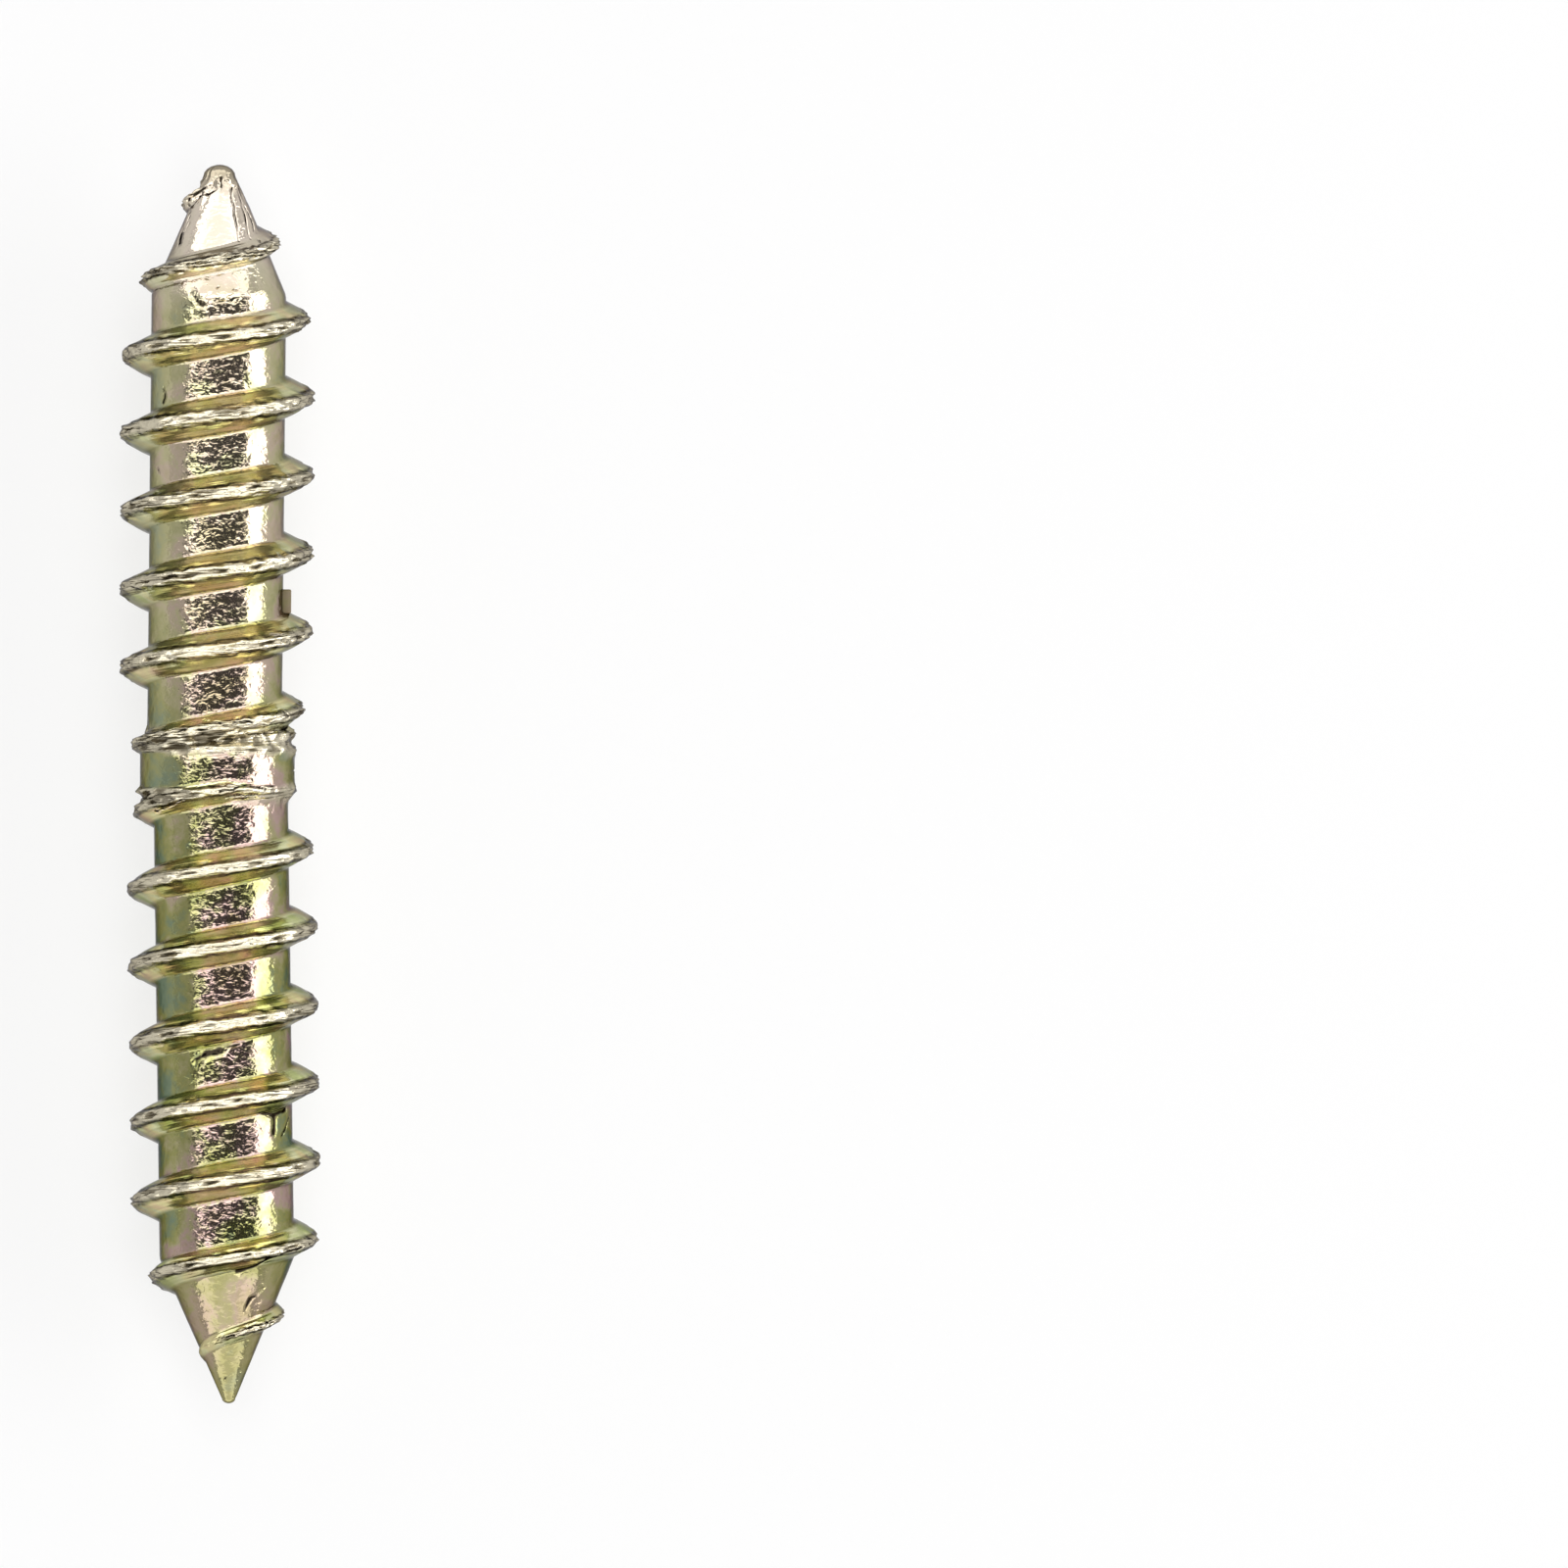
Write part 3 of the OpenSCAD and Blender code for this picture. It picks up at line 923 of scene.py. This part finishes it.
# %% Start the metal
zinc = bpy.data.materials.new("yellow_zinc")
zinc.use_nodes = True
tree = zinc.node_tree
tree.nodes.clear()
coordinates = add_node(tree, "TexCoord")
in_mm = add_node(tree, "VectorMath", {"operation": "SCALE"}, _0=(coordinates, "Object"), Scale=1 / MM)
where = add_node(tree, "SeparateXYZ", Vector=(in_mm, "Vector"))
form = add_node(tree, "Attribute", {"attribute_name": "form"})
form_parts = add_node(tree, "SeparateXYZ", Vector=(form, "Vector"))
ridge = (form_parts, "X")
at_collar = (form_parts, "Y")
in_hollow = (form_parts, "Z")
unwound = add_node(tree, "Attribute", {"attribute_name": "unwound"})
crack = add_node(tree, "Attribute", {"attribute_name": "crack"})


def patches(size, detail, *shifts):
    """Noise in patches of a size in mm, shifted by other values towards one end of the film's colours."""
    cloud = add_node(
        tree, "TexNoise", Vector=(in_mm, "Vector"),
        Scale=1 / size, Detail=detail, Roughness=0.62, Distortion=0.3,
    )
    value = (cloud, "Fac")
    for shift in shifts:
        shifted = add_node(tree, "Math", ADD, _0=value, _1=(shift, "Result"))
        value = (shifted, "Value")
    return value


def lines_along(across, along, detail, waviness=0.0):
    """Noise in streaks that run round the screw with the thread, of a width and a length in mm."""
    per_mm = math.tau * CORE_R / PITCH
    stretch = (1 / (across * per_mm), 1 / (across * per_mm), per_mm / along)
    place = add_node(tree, "Mapping", Vector=(unwound, "Vector"), Scale=stretch)
    streaks = add_node(
        tree, "TexNoise", Vector=(place, "Vector"), Scale=1.0, Detail=detail, Distortion=waviness,
    )
    return streaks, "Fac"


print("attributes read:", form.attribute_name, unwound.attribute_name, crack.attribute_name)

# %% [markdown]
# ## The film
# The film is greener towards the sharp point and pinker towards the blunt point. Light is painted into it
# too: it is pinker on the right, where the softbox shines, and greener on the left, as a painted tint of the
# light, and the core is greener towards its sides as seen from above than along its middle, as painted
# view-angle colour. A material for each place would be clumsy, so a gradient for each is added to one noise,
# whose value then finds its colour on a ramp. The flanks were drawn smooth by the dies and keep a lighter
# film, so they have a ramp of their own.

# %% The film's colours
PATCH_MM = 1.8
FLANK_PATCH_MM = 1.3
CORE_FILM = [(0.30, "#72806A"), (0.42, "#8B8A58"), (0.50, "#9C9672"), (0.58, "#A8908A"), (0.68, "#9A8970")]
FLANK_FILM = [(0.34, "#CED698"), (0.46, "#E6E6BA"), (0.54, "#ECE4AC"), (0.62, "#ECDAAC"), (0.70, "#E6CAA8")]

by_half = add_node(
    tree, "MapRange", Value=(where, "Y"), From_Min=-19.0, From_Max=12.0, To_Min=-0.035, To_Max=0.03,
)
off_centre = add_node(tree, "Math", ABSOLUTE, _0=(where, "X"))
# Painted view-angle colour: the film turns greener towards the sides of the core as seen from above.
view_angle_tint = add_node(
    tree, "MapRange", Value=(off_centre, "Value"), From_Min=0.6, From_Max=2.1, To_Min=0.05, To_Max=-0.07,
)
# Painted tint of the light: pinker on the right, where the softbox shines, greener on the left.
across = add_node(
    tree, "MapRange", Value=(where, "X"), From_Min=-2.0, From_Max=2.0, To_Min=-0.02, To_Max=0.03,
)
core_film = add_node(tree, "ValToRGB", Fac=patches(PATCH_MM, 5.0, by_half, view_angle_tint, across))
ramp_stops(core_film, [(place, linear(hue)) for place, hue in CORE_FILM])
flank_film = add_node(tree, "ValToRGB", Fac=patches(FLANK_PATCH_MM, 2.0, by_half))
ramp_stops(flank_film, [(place, linear(hue)) for place, hue in FLANK_FILM])
above_foot = add_node(tree, "MapRange", Value=ridge, From_Min=0.05, From_Max=0.25)
below_crest = add_node(tree, "MapRange", Value=ridge, From_Min=0.9, From_Max=0.7)
flank = add_node(tree, "Math", MULTIPLY, _0=(above_foot, "Result"), _1=(below_crest, "Result"))
film = add_node(
    tree, "Mix", COLOURS, _0=(flank, "Value"), _6=(core_film, "Color"), _7=(flank_film, "Color"),
)
print("film's patches are", PATCH_MM, "and", FLANK_PATCH_MM, "mm across")

# %% [markdown]
# ## Tints along the screw
# The film is paler along the blunt half and silvery on its cone, dull on the sharp cone, and dullest where
# the blunt tip broke off. Separate materials would leave hard edges between them, so each tint comes in
# softly along the screw, over the film.

# %% Tints along the screw
def tinted(below, hue, most, y_from, y_to):
    """Mixes a colour in along the screw, from none at the first y in mm to its most at the second."""
    amount = add_node(tree, "MapRange", Value=(where, "Y"), From_Min=y_from, From_Max=y_to, To_Max=most)
    mixed = add_node(tree, "Mix", COLOURS, _0=(amount, "Result"), _6=below, _7=linear(hue))
    return mixed, 2


tint = tinted((film, 2), "#CCC6A4", 0.36, -2.0, 8.0)
tint = tinted(tint, "#CEC3B6", 0.8, 15.0, 17.5)
tint = tinted(tint, "#948A66", 0.5, -14.8, -16.5)
tint = tinted(tint, "#857C62", 0.7, 18.9, 19.7)
print("material has", len(tree.nodes), "nodes so far")

# %% [markdown]
# ## Bare crests, painted shade and cracks
# The crests rub on each other in the barrel and lose the film, so they are silvery. They are darker in
# streaks along their brinks, and painted shade darkens the valleys of their folds, the seam's hollows and the
# gaps between the folds; the same layer gives the flake of scale its dull, darker colour. A mask could find
# all edges, but the attribute knows the ridge exactly. Each layer is mixed over the one before: the tinted
# film, bare metal, the brink lines with the painted shade, cracks.

# %% Bare crests, painted shade and cracks
BRINK_AND_FOLD_DARKENING = 0.75  # how much of the metal the brink lines and the painted shade in the folds hide
BRINK = 0.8  # share of the ridge's height at which a crest has its brink

crest = add_node(tree, "MapRange", Value=ridge, From_Min=0.78, From_Max=0.95)
high = add_node(tree, "Math", LARGER, _0=(crest, "Result"), _1=at_collar)
worn = add_node(tree, "Mix", COLOURS, _0=(high, "Value"), _6=tint, _7=linear("#C8C0AA"))

# A darker line along the brink of each crest, broken into streaks.
from_brink = add_node(tree, "Math", SUBTRACT, _0=ridge, _1=BRINK)
from_brink = add_node(tree, "Math", ABSOLUTE, _0=(from_brink, "Value"))
brink = add_node(tree, "MapRange", Value=(from_brink, "Value"), From_Min=0.12, From_Max=0.04)
broken_streaks = add_node(tree, "MapRange", Value=lines_along(0.12, 1.2, 2.0), From_Min=0.42, From_Max=0.58)
brink = add_node(tree, "Math", MULTIPLY, _0=(brink, "Result"), _1=(broken_streaks, "Result"))

folded = lines_along(0.2, 0.7, 2.0, 0.6)
# Painted shade: the valleys of the folds on the crests are darkened.
valleys = add_node(tree, "MapRange", Value=folded, From_Min=0.46, From_Max=0.36)
valleys = add_node(tree, "Math", MULTIPLY, _0=(valleys, "Result"), _1=(high, "Value"))
painted_shade_and_dull_share = add_node(tree, "Math", LARGER, _0=(brink, "Value"), _1=(valleys, "Value"))
# Painted shade in the seam's hollows and the gaps between folds, from the third value of form, which also
# holds the flake's own dull, darker colour.
painted_shade_and_dull_share = add_node(tree, "Math", MULTIPLY_ADD, _0=(painted_shade_and_dull_share, "Value"), _1=BRINK_AND_FOLD_DARKENING, _2=in_hollow)
painted_shade_and_dull_share = add_node(tree, "Math", SMALLER, _0=(painted_shade_and_dull_share, "Value"), _1=1.0)
painted_shade_and_dull = add_node(tree, "Mix", COLOURS, _0=(painted_shade_and_dull_share, "Value"), _6=(worn, 2), _7=linear("#4A4232"))

# The strokes of painted shade are darkened here in the same way as the cracks.
in_crack_or_shade = add_node(tree, "MapRange", Value=(crack, "Fac"), From_Min=1.5, From_Max=0.8)
colour = add_node(tree, "Mix", COLOURS, _0=(in_crack_or_shade, "Result"), _6=(painted_shade_and_dull, 2), _7=linear("#2A251C"))
print("material has", len(tree.nodes), "nodes so far")

# %% [markdown]
# ## Grain, dents and folds
# The zinc has a fine grain, which makes the core sparkle where it is dark. The core is also slightly dented,
# the flanks have fine lines along the thread from the dies, and the crests have small folds. As faces these
# would be far too many, so they are layers of bump, each with its height in millimetres, and a mask lets
# each in where it belongs.

# %% The skin as bump
GRAIN_MM, GRAIN_H_MM = 0.15, 0.0185
DENT_MM, DENT_H_MM = 0.55, 0.035
DRAWN_H_MM = 0.012
FOLD_H_MM = 0.07
CRACK_MM = 0.05


def height_of(source, height, mask, below=0.0):
    """A layer of skin of a height in mm, where a mask lets it in, on top of the layer below."""
    let_in = add_node(tree, "Math", MULTIPLY, _0=source, _1=mask)
    layer = add_node(tree, "Math", MULTIPLY_ADD, _0=(let_in, "Value"), _1=height, _2=below)
    return layer, "Value"


grain_place = add_node(tree, "Mapping", Vector=(in_mm, "Vector"), Scale=(0.65, 1.0, 0.65))
grain = add_node(
    tree, "TexNoise", Vector=(grain_place, "Vector"),
    Scale=1 / GRAIN_MM, Detail=1.0, Roughness=0.5, Distortion=0.8,
)
not_flank = add_node(tree, "Math", SUBTRACT, _0=1.0, _1=(flank, "Value"))
grainy = add_node(tree, "Math", SUBTRACT, _0=(not_flank, "Value"), _1=in_hollow)
skin = height_of((grain, "Fac"), GRAIN_H_MM, (grainy, "Value"))
skin = height_of(patches(DENT_MM, 1.0), DENT_H_MM, (grainy, "Value"), skin)
skin = height_of(lines_along(0.06, 2.0, 1.0), DRAWN_H_MM, (flank, "Value"), skin)
skin = height_of(folded, FOLD_H_MM, (high, "Value"), skin)
sunk = add_node(
    tree, "MapRange", Value=(crack, "Fac"), From_Min=0.0, From_Max=2.5, To_Min=-CRACK_MM, To_Max=0.0,
)
skin = add_node(tree, "Math", ADD, _0=skin, _1=(sunk, "Result"))
bump = add_node(tree, "Bump", Height=(skin, "Value"), Strength=1.0, Distance=MM)
print("material has", len(tree.nodes), "nodes so far")

# %% [markdown]
# ## The shader
# Plated metal is all reflection, so metallic is 1. One roughness would do for clean plate, but this has dull
# places, so it is low on the core, a little higher on the flanks, and high in the hollows and on the scale.
# The grey specular tint darkens what the metal mirrors at grazing angles, which would be white without it.

# %% The shader
CORE_ROUGHNESS = 0.14
FLANK_ROUGHNESS = 0.2
HOLLOW_ROUGHNESS = 0.8

gloss = add_node(tree, "MapRange", Value=(flank, "Value"), To_Min=CORE_ROUGHNESS, To_Max=FLANK_ROUGHNESS)
dull = add_node(tree, "Math", MULTIPLY_ADD, _0=in_hollow, _1=HOLLOW_ROUGHNESS, _2=(gloss, "Result"))
steel = add_node(
    tree, "BsdfPrincipled", Base_Color=(colour, 2), Metallic=1.0, Roughness=(dull, "Value"),
    Normal=(bump, "Normal"), Specular_Tint=linear("#94949A"),
)
add_node(tree, "OutputMaterial", Surface=(steel, "BSDF"))
screw.data.materials.clear()
screw.data.materials.append(zinc)
print("material has", len(tree.nodes), "nodes")

# %% [markdown]
# ## Handing over
# The finished mesh comes down from millimetres to metres. The scale is applied, so that its place is in its
# vertices, as a CAD node's is, and the piece takes the place of the plain CAD screw and rides on its body.

# %% To metres, and into the frame
only(screw)
screw.scale = (MM, MM, MM)
bpy.ops.object.transform_apply(location=True, rotation=True, scale=True)
bpy.ops.object.shade_smooth()
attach(screw, "root")
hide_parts("double_ended_screw")
